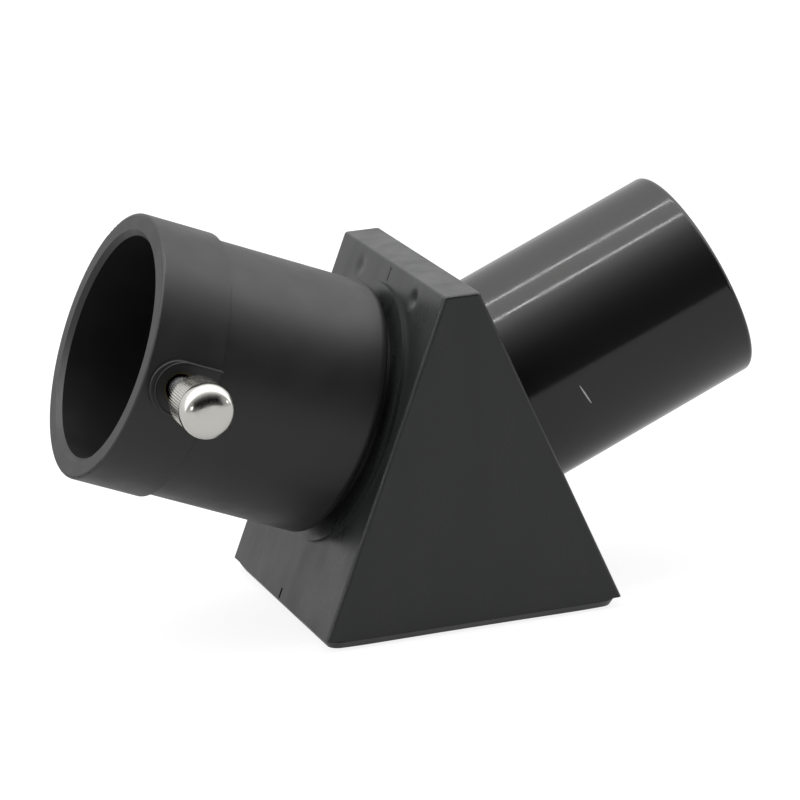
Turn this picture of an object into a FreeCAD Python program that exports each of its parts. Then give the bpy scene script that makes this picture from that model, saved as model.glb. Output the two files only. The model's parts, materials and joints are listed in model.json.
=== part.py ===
"""Parametric model of a 45 degree erecting prism diagonal for 1.25 inch eyepieces.

Frame: millimetres, +Z up, origin at the centre of the underside of the base cover.
+X points towards the nose barrel, -X towards the eyepiece holder, and the thumbscrew is on the -Y side.
Both optical axes lie in the XZ plane and cross at the axis height, each square to its slanted housing face.
"""

import FreeCAD, Part
import math
import os
import re

import Sketcher

DOCUMENT = "ErectingDiagonal"
EYEPIECE_SIDE = -1
NOSE_SIDE = 1

# Geometry numbers that every sketch has from the start.
HORIZONTAL_AXIS = -1
VERTICAL_AXIS = -2
ORIGIN = (-1, 1)
START = 1
END = 2
CENTRE = 3

# Driving dimensions: alias, value in millimetres or degrees, meaning.
SIZES = [
    ("face_tilt", "22.5", "lean of each slanted housing face from upright"),
    ("draft_angle", "0.3", "inward lean of the two side walls"),
    ("prism_reach", "11.6", "half the prism's width, and half the height of its square light path"),
    ("apex_cut", "1.42", "height cut from the sharp top of the prism"),
    ("cover_rim", "1.45", "thickness of the cover's visible rim"),
    ("cover_plug", "1.25", "height of the cover's plug inside the walls"),
    ("cover_inset", "0.1", "how far the cover's rim stands in from the side walls"),
    ("cover_setback", "0.45", "how far the cover's rim stands in from the slanted walls"),
    ("cover_corner", "2.8", "corner radius of the cover's rim"),
    ("plug_gap", "0.2", "gap between the cover's plug and the walls"),
    ("cradle_floor", "2.02", "cradle thickness under the valley of its trough"),
    ("roof_pad", "0.6", "thickness of the pads under the prism's roof"),
    ("side_pad", "0.6", "room for a pad at each side of the prism"),
    ("top_pad", "0.8", "thickness of the pad over the prism"),
    ("top_pad_length", "16", "length of the pad over the prism"),
    ("top_pad_width", "2.4", "width of the pad over the prism"),
    ("roof_pad_length", "12", "length of each roof pad"),
    ("roof_pad_width", "4.5", "width of each roof pad"),
    ("roof_pad_start", "7", "distance of the roof pads from the middle"),
    ("side_pad_length", "4.4", "length of each side pad"),
    ("side_pad_height", "10", "height of each side pad"),
    ("side_pad_drop", "3", "how far the side pads reach below the optical axes"),
    ("cheek_wall", "3.3", "thickness of the cradle's cheeks"),
    ("cradle_margin", "2.03", "how far the cradle stands out past the prism's faces"),
    ("cradle_length", "23", "length of the cradle's foot along X"),
    ("tab_reach", "3.5", "how far the fixing tabs stand out from the cheeks"),
    ("tab_width", "8", "width of the fixing tabs"),
    ("tab_height", "2", "thickness of the fixing tabs"),
    ("tab_lift", "4.3", "height of the tabs' underside"),
    ("mask_plate", "0.7", "thickness of the light masks"),
    ("mask_margin", "2.4", "rim left between a mask's opening and the prism's edge"),
    ("mask_tuck", "0.5", "how far the masks reach into the cheeks' grooves"),
    ("slip_gap", "0.05", "gap between pieces that slide together on assembly"),
    ("thread_gap", "0.03", "gap between two mating threads, taken as plain cylinders"),
    ("carrier_room", "7.256", "distance from a prism face to the housing's outer face"),
    ("face_wall", "2.4", "thickness of the slanted walls"),
    ("side_wall", "2.1", "thickness of the side walls"),
    ("top_wall", "2.2", "thickness of the top wall"),
    ("house_corner", "0.7", "rounding of the housing's upright edges"),
    ("top_round", "0.45", "rounding of the housing's top edges"),
    ("side_margin", "2.28", "housing width past the collar on each side, at the axis height"),
    ("top_margin", "3.15", "face length above the collar"),
    ("collar_step", "0.67", "collar radius past the holder's tube"),
    ("collar_rise", "0.5", "height of the collar around the holder's seat"),
    ("ring_wall", "2.5", "wall of the threaded rings inside the housing"),
    ("ring_reach", "3.9", "depth of the threaded rings under the housing's face"),
    ("spigot_radius", "14", "outer radius of both threaded spigots"),
    ("spigot_wall", "2.25", "wall of both threaded spigots"),
    ("notch_width", "0.5", "width of the pry notch in the housing's lower edge"),
    ("notch_rise", "1.5", "height of the pry notch"),
    ("boss_radius", "2.6", "radius of the four corner bosses"),
    ("boss_inset", "3.4", "distance of the corner bosses' axes from the inner walls"),
    ("boss_height", "7.4", "height of the corner bosses"),
    ("post_radius", "1.65", "radius of the two bosses that carry the cradle"),
    ("post_height", "8", "height of those bosses"),
    ("bore_radius", "15.98", "eyepiece socket radius"),
    ("tube_wall", "2.45", "wall of the eyepiece holder's tube"),
    ("lip_rise", "0.66", "how far the lip stands out from the tube"),
    ("lip_length", "10.64", "length of the lip from the mouth"),
    ("lip_bevel", "0.35", "bevel at the lip's rear step"),
    ("holder_length", "36.58", "eyepiece holder from its seat to its mouth"),
    ("neck_length", "1.3", "gap between the collar and the holder's tail"),
    ("neck_radius", "15.5", "radius of the holder's neck in that gap"),
    ("tail_round", "1.5", "rounding of the holder's tail"),
    ("socket_floor", "3", "thickness of the socket's floor under the stop ring"),
    ("mouth_flare", "0.7", "flare of the socket's mouth"),
    ("mouth_round", "0.45", "rounding of the lip's front edge"),
    ("stop_plate", "0.8", "thickness of the socket's stop ring"),
    ("stop_ledge", "1", "width of the floor around the stop ring's recess"),
    ("stop_wall", "4.2", "width of the stop ring, with its slip gap"),
    ("pad_half_width", "3.9", "half the width of the raised screw pad"),
    ("pad_rise", "0.46", "how far the screw pad stands above the lip"),
    ("pad_setback", "4.84", "screw pad's round end, centre to mouth"),
    ("pad_round", "0.25", "rounding of the screw pad's edge"),
    ("screw_setback", "5.54", "thumbscrew's axis to the mouth"),
    ("screw_radius", "2", "thumbscrew thread radius, M4"),
    ("screw_play", "0.06", "radial play of the thumbscrew in its insert"),
    ("screw_hole_gap", "0.2", "radial gap between the screw and the plain hole in the wall"),
    ("insert_wall", "0.42", "wall of the brass insert"),
    ("insert_length", "2.5", "length of the brass insert"),
    ("insert_recess", "0.65", "depth of the insert below the screw pad"),
    ("tip_gap", "0.42", "stud's tip to the socket's wall surface, as set"),
    ("tip_bevel", "0.35", "bevel of the stud's tip"),
    ("head_standoff", "5.85", "thumbscrew head to the screw pad, as set"),
    ("head_radius", "3.8", "thumbscrew head radius"),
    ("head_length", "8.1", "thumbscrew head length with its dome"),
    ("head_dome", "0.8", "height of the head's dome"),
    ("head_bevel", "0.3", "bevel at the head's inner end"),
    ("head_socket", "5", "depth of the stud in the head"),
    ("nose_radius", "15.85", "nose barrel radius, 1.25 inch"),
    ("nose_length", "34.99", "nose barrel from the housing's face to its end"),
    ("nose_round", "0.8", "rounding of the nose barrel's end"),
    ("nose_bore", "13.9", "nose barrel's inner radius"),
    ("nose_floor", "4", "depth of the inner step above the housing's face"),
    ("filter_radius", "14.25", "filter thread radius, M28.5 x 0.6"),
    ("filter_depth", "5", "length of the filter thread"),
    ("baffle_radius", "12.3", "opening radius of the nose baffle"),
    ("baffle_plate", "1.2", "thickness of the nose baffle"),
    ("baffle_setback", "15", "nose baffle's distance from the barrel's end"),
    ("clip_plate", "0.4", "thickness of the prism clip"),
    ("clip_width", "4", "width of the prism clip"),
    ("small_screw", "1", "radius of the M2 screws"),
    ("small_head", "1.7", "head radius of the M2 screws"),
    ("small_head_height", "1.2", "head height of the M2 screws"),
    ("small_grip", "5", "thread length of the M2 screws past what they clamp"),
    ("cover_screw", "1.25", "radius of the M2.5 cover screws"),
    ("cover_head", "2.35", "head radius of the countersunk cover screws"),
    ("cover_play", "0.15", "radial play of the cover screws in the cover"),
    ("cover_sink", "0.12", "depth of the cover screws' heads below the underside"),
    ("cover_grip", "5", "thread length of the cover screws in the bosses"),
]

# Sizes that follow from the driving ones: alias, formula, meaning.
DERIVED = [
    ("cover_top", "cover_rim + cover_plug", "height of the cover's inner face"),
    ("roof_pad_height", "roof_pad * sqrt(2)", "roof pad thickness measured upright"),
    ("trough_height", "cover_top + cradle_floor", "height of the trough's valley"),
    ("ridge_height", "trough_height + roof_pad_height", "height of the prism's roof ridge"),
    ("axis_height", "ridge_height + 4 * sin(face_tilt) * prism_reach", "height where the optical axes cross"),
    ("prism_face", "prism_reach * tan(face_tilt)", "crossing point to a prism face"),
    ("prism_apex", "axis_height + prism_reach / cos(face_tilt)", "height of the prism's sharp top"),
    ("prism_top", "prism_apex - apex_cut", "height of the prism's flat top"),
    ("house_face", "prism_face + carrier_room", "crossing point to the housing's slanted face"),
    ("house_apex", "axis_height + house_face / sin(face_tilt)", "height where the slanted faces would meet"),
    ("tube_radius", "bore_radius + tube_wall", "outer radius of the holder's tube"),
    ("lip_radius", "tube_radius + lip_rise", "outer radius of the holder's lip"),
    ("collar_radius", "tube_radius + collar_step", "radius of the housing's collar"),
    ("top_reach", "collar_radius + top_margin", "face length above the optical axis"),
    ("house_top", "axis_height + house_face * sin(face_tilt) + top_reach * cos(face_tilt)",
     "height of the housing"),
    ("clip_height", "prism_top + top_pad", "height of the clip's underside and the cradle's top"),
    ("channel_half", "prism_reach + side_pad", "half the width of the cradle's channel"),
    ("cheek_half", "channel_half + cheek_wall", "half the width of the cradle over its cheeks"),
    ("post_half", "cheek_half + tab_reach / 2 + 0.1", "distance of the cradle screws from the middle"),
    ("half_by_collar", "collar_radius + side_margin + axis_height * tan(draft_angle)",
     "half width that the collar asks for"),
    ("half_by_cradle", "cheek_half + tab_reach + side_wall + 0.4", "half width that the cradle asks for"),
    ("foot_half", "max(half_by_collar; half_by_cradle)", "half the housing's width at the ground plane"),
    ("wall_shift", "face_wall / cos(face_tilt)", "slanted wall's thickness measured along X"),
    ("cavity_top", "min(house_top - top_wall; house_apex - (wall_shift + 0.6) / tan(face_tilt))",
     "top of the cavity"),
    ("rim_half_x", "(house_apex - cover_rim) * tan(face_tilt)", "half length of the housing's lower edge"),
    ("rim_half_y", "foot_half - cover_rim * tan(draft_angle)", "half width of the housing's lower edge"),
    ("plug_half_x", "(house_apex - cover_top) * tan(face_tilt) - wall_shift - plug_gap",
     "half length of the plug"),
    ("plug_half_y", "foot_half - cover_top * tan(draft_angle) - side_wall - plug_gap",
     "half width of the plug"),
    ("boss_x", "plug_half_x + plug_gap - boss_inset", "corner boss position along X"),
    ("boss_y", "plug_half_y + plug_gap - boss_inset", "corner boss position along Y"),
    ("cradle_face", "prism_face + cradle_margin", "crossing point to the cradle's slanted faces"),
    ("cradle_knee", "axis_height + (cradle_face - cradle_length / 2 * cos(face_tilt)) / sin(face_tilt)",
     "height where the cradle's slanted faces start"),
    ("mask_face", "prism_face + slip_gap", "crossing point to a mask's inner side"),
    ("mask_open", "prism_reach - mask_margin", "radius of the masks' openings"),
    ("mask_top", "mask_open + 0.5", "mask height above the optical axis"),
    ("mask_low", "mask_open + 1.2", "mask depth below the optical axis"),
    ("mask_half", "channel_half + mask_tuck", "half the width of a mask"),
    ("mask_level", "axis_height + mask_face * sin(face_tilt)", "height where the axis meets a mask"),
    ("mask_heel", "(mask_level - trough_height - channel_half) / cos(face_tilt) - 0.4",
     "mask's full width ends this far below the optical axis"),
    ("mask_toe", "mask_level - mask_low * cos(face_tilt) - trough_height - 0.5",
     "half the width of a mask's foot"),
    ("ring_radius", "spigot_radius + ring_wall", "outer radius of the threaded rings"),
    ("ring_face", "house_face - ring_reach", "crossing point to the threaded rings' inner faces"),
    ("seat_face", "house_face + collar_rise", "crossing point to the eyepiece holder's seat"),
    ("mouth_face", "seat_face + holder_length", "crossing point to the socket's mouth"),
    ("tail_face", "seat_face + neck_length", "crossing point to the holder's tail"),
    ("ring_floor", "tail_face + socket_floor", "crossing point to the stop ring's recess"),
    ("socket_face", "ring_floor + stop_plate", "crossing point to the socket's floor"),
    ("stop_radius", "bore_radius - stop_ledge", "radius of the stop ring's recess"),
    ("lip_face", "mouth_face - lip_length", "crossing point to the lip's rear step"),
    ("throat_radius", "spigot_radius - spigot_wall", "radius of the light path through the spigots"),
    ("screw_face", "mouth_face - screw_setback", "crossing point to the thumbscrew's axis"),
    ("pad_face", "mouth_face - pad_setback", "crossing point to the screw pad's round end"),
    ("pad_radius", "lip_radius + pad_rise", "height of the screw pad above the socket's axis"),
    ("insert_bore", "screw_radius + screw_play", "radius of the insert's thread"),
    ("insert_radius", "insert_bore + insert_wall", "outer radius of the insert"),
    ("insert_top", "pad_radius - insert_recess", "insert's outer end, from the socket's axis"),
    ("insert_foot", "insert_top - insert_length", "insert's inner end, from the socket's axis"),
    ("tip_reach", "bore_radius + tip_gap", "stud's tip, from the socket's axis"),
    ("head_reach", "pad_radius + head_standoff", "head's inner end, from the socket's axis"),
    ("nose_end", "house_face + nose_length", "crossing point to the nose barrel's end"),
    ("nose_step", "house_face + nose_floor", "crossing point to the step inside the nose"),
    ("clip_screw_half", "channel_half + cheek_wall / 2", "distance of the clip's screws from the middle"),
]

doc = FreeCAD.newDocument(DOCUMENT)
sheet_of = {}


def formula(text):
    """The same formula, with the name of its sheet put before each size's name."""
    return re.sub(r"[a-z_]+", lambda word: sheet_of.get(word.group(), "") + word.group(), text)


def fill_sheet(name, rows, lead):
    """A spreadsheet with a row for each size: its alias, its value or formula, and its meaning."""
    sheet = doc.addObject("Spreadsheet::Sheet", name)
    for row, (alias, content, meaning) in enumerate(rows, start=1):
        sheet.set(f"A{row}", alias)
        sheet.set(f"B{row}", lead + formula(content))
        sheet.set(f"C{row}", meaning)
        sheet.setAlias(f"B{row}", alias)
        sheet_of[alias] = f"{name}."
    doc.recompute()
    return sheet


def value(text):
    """The number that a formula gives now."""
    return float(sizes.evalExpression(formula(text)))


def bind(thing, path, text):
    thing.setExpression(path, formula(text))


def turn(axis, degrees):
    return FreeCAD.Rotation(FreeCAD.Vector(*axis), degrees)


# ---------------------------------------------------------------- sketches

def new_body(label):
    body = doc.addObject("PartDesign::Body", label)
    body.Label = label
    return body


def new_sketch(body, name, plane, lift="0"):
    """A sketch on one of the body's own planes, moved along that plane's normal."""
    sketch = body.newObject("Sketcher::SketchObject", name)
    support = next(item for item in body.Origin.OriginFeatures if item.Role == plane)
    sketch.AttachmentSupport = [(support, "")]
    sketch.MapMode = "FlatFace"
    bind(sketch, "AttachmentOffset.Base.z", lift)
    return sketch


def new_tilted_sketch(body, name, side, along):
    """A sketch square to one optical axis, at a distance from the crossing point; its Y runs across."""
    sketch = new_sketch(body, name, "XY_Plane")
    sketch.AttachmentOffset = FreeCAD.Placement(FreeCAD.Vector(), turn((0, side, 0), 90 - value("face_tilt")))
    bind(sketch, "AttachmentOffset.Base.x", f"{side} * cos(face_tilt) * ({along})")
    bind(sketch, "AttachmentOffset.Base.z", f"axis_height + sin(face_tilt) * ({along})")
    bind(sketch, "AttachmentOffset.Rotation.Angle", "90 - face_tilt")
    return sketch


def place_point(sketch, geometry, end, x, y):
    """Holds one end of a line at a place given by two formulas."""
    for kind, text, axis in (("DistanceX", x, VERTICAL_AXIS), ("DistanceY", y, HORIZONTAL_AXIS)):
        if text == "0":
            sketch.addConstraint(Sketcher.Constraint("PointOnObject", geometry, end, axis))
        else:
            number = sketch.addConstraint(Sketcher.Constraint(kind, *ORIGIN, geometry, end, value(text)))
            bind(sketch, f"Constraints[{number}]", text)


def draw_outline(sketch, points):
    """A closed outline through the points, each an x and a y formula.

    A third entry, "dome", makes the stretch to the next point an arc whose centre is on the vertical axis.
    """
    corners = [FreeCAD.Vector(value(x), value(y), 0) for x, y, *_ in points]
    first = sketch.GeometryCount
    for point, here, there in zip(points, corners, corners[1:] + corners[:1]):
        if "dome" in point:
            add_dome(sketch, here, there)
        else:
            sketch.addGeometry(Part.LineSegment(here, there), False)
    for number, (x, y, *_) in enumerate(points):
        previous = first + (number - 1) % len(points)
        sketch.addConstraint(Sketcher.Constraint("Coincident", previous, END, first + number, START))
        place_point(sketch, first + number, START, x, y)


def add_dome(sketch, side, crown):
    """An arc from a point at the side up to the crown on the vertical axis, centred on that axis."""
    rise = crown.y - side.y
    radius = (side.x ** 2 + rise ** 2) / (2 * rise)
    centre = FreeCAD.Vector(0, crown.y - radius, 0)
    start = math.atan2(side.y - centre.y, side.x)
    circle = Part.Circle(centre, FreeCAD.Vector(0, 0, 1), radius)
    arc = sketch.addGeometry(Part.ArcOfCircle(circle, start, math.pi / 2), False)
    sketch.addConstraint(Sketcher.Constraint("PointOnObject", arc, CENTRE, VERTICAL_AXIS))


def draw_circle(sketch, x, y, radius):
    centre = FreeCAD.Vector(value(x), value(y), 0)
    circle = sketch.addGeometry(Part.Circle(centre, FreeCAD.Vector(0, 0, 1), value(radius)), False)
    place_point(sketch, circle, CENTRE, x, y)
    number = sketch.addConstraint(Sketcher.Constraint("Radius", circle, value(radius)))
    bind(sketch, f"Constraints[{number}]", radius)


def draw_rectangle(sketch, half_x, half_y, x="0", y="0"):
    low_x, high_x = f"{x} - ({half_x})", f"{x} + {half_x}"
    low_y, high_y = f"{y} - ({half_y})", f"{y} + {half_y}"
    draw_outline(sketch, [(low_x, low_y), (high_x, low_y), (high_x, high_y), (low_x, high_y)])


def draw_rounded_rectangle(sketch, half_x, half_y, radius):
    """A rectangle about the origin with four round corners."""
    x, y, r = value(half_x), value(half_y), value(radius)
    ends = [
        ((x, r - y), (x, y - r)),
        ((x - r, y), (r - x, y)),
        ((-x, y - r), (-x, r - y)),
        ((r - x, -y), (x - r, -y)),
    ]
    centres = [(x - r, y - r), (r - x, y - r), (r - x, r - y), (x - r, r - y)]
    for start, end in ends:
        sketch.addGeometry(Part.LineSegment(FreeCAD.Vector(*start, 0), FreeCAD.Vector(*end, 0)), False)
    for number, centre in enumerate(centres):
        circle = Part.Circle(FreeCAD.Vector(*centre, 0), FreeCAD.Vector(0, 0, 1), r)
        start = number * math.pi / 2
        sketch.addGeometry(Part.ArcOfCircle(circle, start, start + math.pi / 2), False)
    for number in range(4):
        arc, following = 4 + number, (number + 1) % 4
        sketch.addConstraint(Sketcher.Constraint("Tangent", number, END, arc, START))
        sketch.addConstraint(Sketcher.Constraint("Tangent", arc, END, following, START))
        sketch.addConstraint(Sketcher.Constraint("Vertical" if number % 2 == 0 else "Horizontal", number))
        if number:
            sketch.addConstraint(Sketcher.Constraint("Equal", 4, arc))
    for line, kind, text in (
        (0, "DistanceX", half_x), (1, "DistanceY", half_y),
        (2, "DistanceX", f"-({half_x})"), (3, "DistanceY", f"-({half_y})"),
    ):
        number = sketch.addConstraint(Sketcher.Constraint(kind, *ORIGIN, line, START, value(text)))
        bind(sketch, f"Constraints[{number}]", text)
    number = sketch.addConstraint(Sketcher.Constraint("Radius", 4, r))
    bind(sketch, f"Constraints[{number}]", radius)


# ---------------------------------------------------------------- features

def extrude(body, kind, name, sketch, length, both_ways=False, reverse=False):
    """A Pad or a Pocket of a sketch, and a check that a Pocket took something away."""
    doc.recompute()
    before = body.Shape.Volume if body.Tip else 0
    feature = body.newObject(f"PartDesign::{kind}", name)
    feature.Profile = sketch
    feature.Reversed = reverse
    if both_ways:
        feature.SideType = "Symmetric"
    bind(feature, "Length", length)
    doc.recompute()
    changed = body.Shape.Volume - before
    if changed * (-1 if kind == "Pocket" else 1) <= 0:
        raise RuntimeError(f"{body.Label} {name} changed the volume by {changed}")
    return feature


def pad(body, name, sketch, length, **options):
    return extrude(body, "Pad", name, sketch, length, **options)


def pocket(body, name, sketch, length, **options):
    return extrude(body, "Pocket", name, sketch, length, **options)


def revolve(body, name, sketch):
    """A full turn of the sketch about its vertical axis."""
    feature = body.newObject("PartDesign::Revolution", name)
    feature.Profile = sketch
    feature.ReferenceAxis = (sketch, ["V_Axis"])
    feature.Angle = 360
    doc.recompute()
    return feature


def loft(body, kind, name, low, high):
    feature = body.newObject(f"PartDesign::{kind}Loft", name)
    feature.Profile = low
    feature.Sections = [high]
    feature.Ruled = True
    doc.recompute()
    return feature


def dress(body, kind, name, size, chosen):
    """A Fillet or Chamfer on the edges of the body's present shape that pass the test."""
    doc.recompute()
    base = body.Tip
    names = [f"Edge{number}" for number, edge in enumerate(base.Shape.Edges, start=1) if chosen(edge)]
    if not names:
        raise RuntimeError(f"{body.Label} {name} found no edge")
    feature = body.newObject(f"PartDesign::{kind}", name)
    feature.Base = (base, names)
    bind(feature, "Radius" if kind == "Fillet" else "Size", size)
    doc.recompute()
    return feature


def ring_edge(radius, height):
    """The test for a round edge about the body's Z axis with this radius, at this height."""
    wanted, level = value(radius), value(height)

    def chosen(edge):
        if not isinstance(edge.Curve, Part.Circle):
            return False
        centre = edge.Curve.Center
        return (
            abs(edge.Curve.Radius - wanted) < 0.01
            and abs(centre.z - level) < 0.01
            and abs(centre.x) < 0.01
            and abs(centre.y) < 0.01
        )

    return chosen


def stand_on_axis(body, side):
    """Puts a body that was drawn about its own Z axis onto one optical axis."""
    body.Placement = FreeCAD.Placement(FreeCAD.Vector(), turn((0, side, 0), 90 - value("face_tilt")))
    bind(body, "Placement.Base.z", "axis_height")
    bind(body, "Placement.Rotation.Angle", "90 - face_tilt")


def stand_on_screw(body):
    """Puts a body that was drawn about its own Z axis onto the thumbscrew's axis, with +Z outwards."""
    body.Placement = FreeCAD.Placement(FreeCAD.Vector(), turn((1, 0, 0), 90))
    bind(body, "Placement.Base.x", "-cos(face_tilt) * screw_face")
    bind(body, "Placement.Base.z", "axis_height + sin(face_tilt) * screw_face")


def turned_piece(label, points):
    """A body turned from an outline of radius and height pairs."""
    body = new_body(label)
    sketch = new_sketch(body, f"{label}_outline", "XZ_Plane")
    draw_outline(sketch, points)
    revolve(body, f"{label}_turned", sketch)
    return body


# ---------------------------------------------------------------- the housing and its cover

def make_housing():
    """The hollow wedge, its collar, threaded rings, bosses and holes."""
    body = new_body("prism_housing")
    low = new_sketch(body, "foot_outline", "XY_Plane", "cover_rim")
    draw_rounded_rectangle(low, "rim_half_x", "rim_half_y", "house_corner")
    high = new_sketch(body, "top_outline", "XY_Plane", "house_top")
    draw_rounded_rectangle(
        high, "(house_apex - house_top) * tan(face_tilt)",
        "foot_half - house_top * tan(draft_angle)", "house_corner")
    loft(body, "Additive", "outer_wedge", low, high)

    low = new_sketch(body, "cavity_foot", "XY_Plane", "0")
    draw_rectangle(low, "house_apex * tan(face_tilt) - wall_shift", "foot_half - side_wall")
    high = new_sketch(body, "cavity_ceiling", "XY_Plane", "cavity_top")
    draw_rectangle(
        high, "(house_apex - cavity_top) * tan(face_tilt) - wall_shift",
        "foot_half - cavity_top * tan(draft_angle) - side_wall")
    loft(body, "Subtractive", "cavity", low, high)

    half_wall = "face_wall / 2"
    for side, word in ((EYEPIECE_SIDE, "eyepiece"), (NOSE_SIDE, "nose")):
        sketch = new_tilted_sketch(body, f"{word}_ring_outline", side, "ring_face")
        draw_circle(sketch, "0", "0", "ring_radius")
        pad(body, f"{word}_ring", sketch, f"ring_reach - {half_wall}")
    sketch = new_tilted_sketch(body, "collar_outline", EYEPIECE_SIDE, f"house_face - {half_wall}")
    draw_circle(sketch, "0", "0", "collar_radius")
    pad(body, "collar", sketch, f"{half_wall} + collar_rise")

    add_corner_bosses(body)
    add_cradle_posts(body)

    for side, word in ((EYEPIECE_SIDE, "eyepiece"), (NOSE_SIDE, "nose")):
        sketch = new_tilted_sketch(body, f"{word}_hole_outline", side, "seat_face + 1")
        draw_circle(sketch, "0", "0", "spigot_radius")
        pocket(body, f"{word}_hole", sketch, "ring_reach + collar_rise + 1.5")

    sketch = new_sketch(body, "notch_outline", "YZ_Plane", "-rim_half_x - 1")
    draw_outline(sketch, [
        ("-notch_width / 2", "0"), ("notch_width / 2", "0"),
        ("notch_width / 2", "cover_rim + notch_rise"), ("-notch_width / 2", "cover_rim + notch_rise")])
    pocket(body, "notch", sketch, "1 + notch_rise", reverse=True)
    top = value("house_top")
    dress(body, "Fillet", "top_edges", "top_round", lambda edge: edge.BoundBox.ZMin > top - 0.001)
    return body


def add_corner_bosses(body):
    """Four bosses from the cover's plug upwards, blended into the walls, with pilot holes."""
    sketch = new_sketch(body, "corner_boss_outline", "XY_Plane", "cover_top")
    for along in (-1, 1):
        for across in (-1, 1):
            draw_circle(sketch, f"{along} * boss_x", f"{across} * boss_y", "boss_radius")
    pad(body, "corner_bosses", sketch, "boss_height")
    sketch = new_sketch(body, "corner_pilot_outline", "XY_Plane", "cover_top")
    for along in (-1, 1):
        for across in (-1, 1):
            draw_circle(sketch, f"{along} * boss_x", f"{across} * boss_y", "cover_screw + thread_gap")
    pocket(body, "corner_pilots", sketch, "cover_grip + 0.5", reverse=True)


def add_cradle_posts(body):
    """Two bosses on the side walls that the cradle's tabs are screwed to."""
    sketch = new_sketch(body, "post_rib_outline", "XY_Plane", "tab_lift + tab_height")
    rib_end = "foot_half - side_wall + 0.8"
    for across in (-1, 1):
        draw_rectangle(
            sketch, "post_radius * 0.6", f"({rib_end} - post_half) / 2",
            y=f"{across} * ({rib_end} + post_half) / 2")
    pad(body, "post_ribs", sketch, "post_height")
    sketch = new_sketch(body, "post_outline", "XY_Plane", "tab_lift + tab_height")
    for across in (-1, 1):
        draw_circle(sketch, "0", f"{across} * post_half", "post_radius")
    pad(body, "cradle_posts", sketch, "post_height")
    sketch = new_sketch(body, "post_pilot_outline", "XY_Plane", "tab_lift + tab_height")
    for across in (-1, 1):
        draw_circle(sketch, "0", f"{across} * post_half", "small_screw + thread_gap")
    pocket(body, "post_pilots", sketch, "small_grip + 0.5", reverse=True)


def make_cover():
    """The plate under the housing: a visible rim, a plug inside the walls and four countersunk holes."""
    body = new_body("base_cover")
    low = new_sketch(body, "rim_underside", "XY_Plane")
    draw_rounded_rectangle(
        low, "house_apex * tan(face_tilt) - cover_setback", "rim_half_y - cover_inset", "cover_corner")
    high = new_sketch(body, "rim_topside", "XY_Plane", "cover_rim")
    draw_rounded_rectangle(high, "rim_half_x - cover_setback", "rim_half_y - cover_inset", "cover_corner")
    loft(body, "Additive", "rim", low, high)
    sketch = new_sketch(body, "plug_outline", "XY_Plane", "cover_rim")
    draw_rectangle(sketch, "plug_half_x", "plug_half_y")
    pad(body, "plug", sketch, "cover_plug")
    sketch = new_sketch(body, "screw_hole_outline", "XY_Plane", "cover_top")
    for along in (-1, 1):
        for across in (-1, 1):
            draw_circle(sketch, f"{along} * boss_x", f"{across} * boss_y", "cover_screw + cover_play")
    pocket(body, "screw_holes", sketch, "cover_top")
    hole = value("cover_screw + cover_play")
    dress(
        body, "Chamfer", "countersinks", "cover_head + cover_sink + thread_gap - cover_screw - cover_play",
        lambda edge: edge.BoundBox.ZMax < 0.001 and abs(edge.BoundBox.XLength - 2 * hole) < 0.001)
    return body


# ---------------------------------------------------------------- the eyepiece holder and the nose barrel

def make_holder():
    """The threaded spigot, neck, tube and lip around the eyepiece socket, with the raised screw pad."""
    body = turned_piece("eyepiece_holder", [
        ("throat_radius", "ring_face + 0.3"),
        ("spigot_radius - thread_gap", "ring_face + 0.3"),
        ("spigot_radius - thread_gap", "seat_face"),
        ("neck_radius", "seat_face"),
        ("neck_radius", "tail_face"),
        ("tube_radius", "tail_face"),
        ("tube_radius", "lip_face"),
        ("lip_radius", "lip_face + lip_bevel"),
        ("lip_radius", "mouth_face"),
        ("bore_radius + mouth_flare", "mouth_face"),
        ("bore_radius", "mouth_face - mouth_flare"),
        ("bore_radius", "socket_face"),
        ("stop_radius", "socket_face"),
        ("stop_radius", "ring_floor"),
        ("throat_radius", "ring_floor"),
    ])
    dress(body, "Fillet", "tail_edge", "tail_round", ring_edge("tube_radius", "tail_face"))
    dress(body, "Fillet", "mouth_edge", "mouth_round", ring_edge("lip_radius", "mouth_face"))

    # The pad's height runs from inside the wall to its flat face, along the body's -Y.
    sunk = "pad_radius - lip_rise - pad_rise - 1.2"
    sketch = new_sketch(body, "screw_pad_outline", "XZ_Plane", sunk)
    draw_outline(sketch, [
        ("-pad_half_width", "lip_face + lip_bevel"), ("pad_half_width", "lip_face + lip_bevel"),
        ("pad_half_width", "pad_face"), ("-pad_half_width", "pad_face")])
    pad(body, "screw_pad", sketch, f"pad_radius - ({sunk})")
    sketch = new_sketch(body, "screw_pad_end_outline", "XZ_Plane", sunk)
    draw_circle(sketch, "0", "pad_face", "pad_half_width")
    pad(body, "screw_pad_end", sketch, f"pad_radius - ({sunk})")
    level = -value("pad_radius")
    dress(body, "Fillet", "screw_pad_edge", "pad_round", lambda edge: edge.BoundBox.YMax < level + 0.001)

    sketch = new_sketch(body, "screw_hole_outline", "XZ_Plane", "pad_radius + 1")
    draw_circle(sketch, "0", "screw_face", "screw_radius + screw_hole_gap")
    pocket(body, "screw_hole", sketch, "pad_radius + 1 - bore_radius / 2")
    sketch = new_sketch(body, "insert_seat_outline", "XZ_Plane", "pad_radius + 1")
    draw_circle(sketch, "0", "screw_face", "insert_radius + thread_gap")
    pocket(body, "insert_seat", sketch, "pad_radius + 1 - insert_foot")
    stand_on_axis(body, EYEPIECE_SIDE)
    return body


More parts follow.
